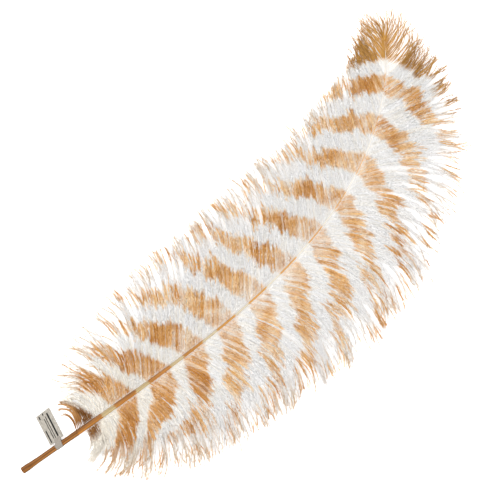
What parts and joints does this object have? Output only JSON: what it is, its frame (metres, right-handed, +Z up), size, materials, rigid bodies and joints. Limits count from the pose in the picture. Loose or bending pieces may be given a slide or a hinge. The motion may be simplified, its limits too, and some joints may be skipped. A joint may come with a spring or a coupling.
{
  "type": "quill pen",
  "caption": "Whole banded ostrich plume as a quill: bare hollow barrel cut square at its end, grooved curving shaft, soft barbed vane, and a small blank label strapped round the stem.",
  "frame": {"origin": "centre of the square-cut end of the quill, on the shaft's axis", "axes": "+X along the bare stem towards the tip; +Y towards the left vane, the side that the shaft curves to; +Z up, away from the table that the plume lies on"},
  "size_m": [0.5735, 0.281, 0.0087],
  "materials": {
    "quill_horn": "semi-matte brown keratin with long streaks and a groove",
    "pulp_membrane": "dry translucent membrane",
    "pith_foam": "matte foam pith",
    "barbs_banded": "soft white barbs dyed with caramel bands",
    "down_brown": "dark brown down",
    "label_card": "grey-beige fibrous label stock",
    "label_strap": "thin pale grey paper strip"
  },
  "bodies": {
    "feather": {"calamus": "quill_horn", "pulp_caps": "pulp_membrane", "rachis": "quill_horn", "pith": "pith_foam", "left_tuft": "down_brown", "right_tuft": "down_brown", "tip_barbs": "barbs_banded", "left_barbs_01": "barbs_banded", "left_barbs_02": "barbs_banded", "left_barbs_03": "barbs_banded", "left_barbs_04": "barbs_banded", "left_barbs_05": "barbs_banded", "left_barbs_06": "barbs_banded", "left_barbs_07": "barbs_banded", "left_barbs_08": "barbs_banded", "left_barbs_09": "barbs_banded", "left_barbs_10": "barbs_banded", "left_barbs_11": "barbs_banded", "left_barbs_12": "barbs_banded", "right_barbs_01": "barbs_banded", "right_barbs_02": "barbs_banded", "right_barbs_03": "barbs_banded", "right_barbs_04": "barbs_banded", "right_barbs_05": "barbs_banded", "right_barbs_06": "barbs_banded", "right_barbs_07": "barbs_banded", "right_barbs_08": "barbs_banded", "right_barbs_09": "barbs_banded", "right_barbs_10": "barbs_banded", "right_barbs_11": "barbs_banded", "right_barbs_12": "barbs_banded"},
    "strap": {"strap_inner_turn": "label_strap"},
    "label": {"strap_loop": "label_strap", "label_card": "label_card"}
  },
  "joints": [
    {"name": "label_slide", "type": "slide", "parent": "feather", "child": "strap", "axis": [1, 0, 0], "range_m": [-0.0205, 0.002]},
    {"name": "label_swivel", "type": "hinge", "parent": "strap", "child": "label", "pos_m": [0.0445, 0, 0], "axis": [1, 0, 0], "continuous": true}
  ]
}
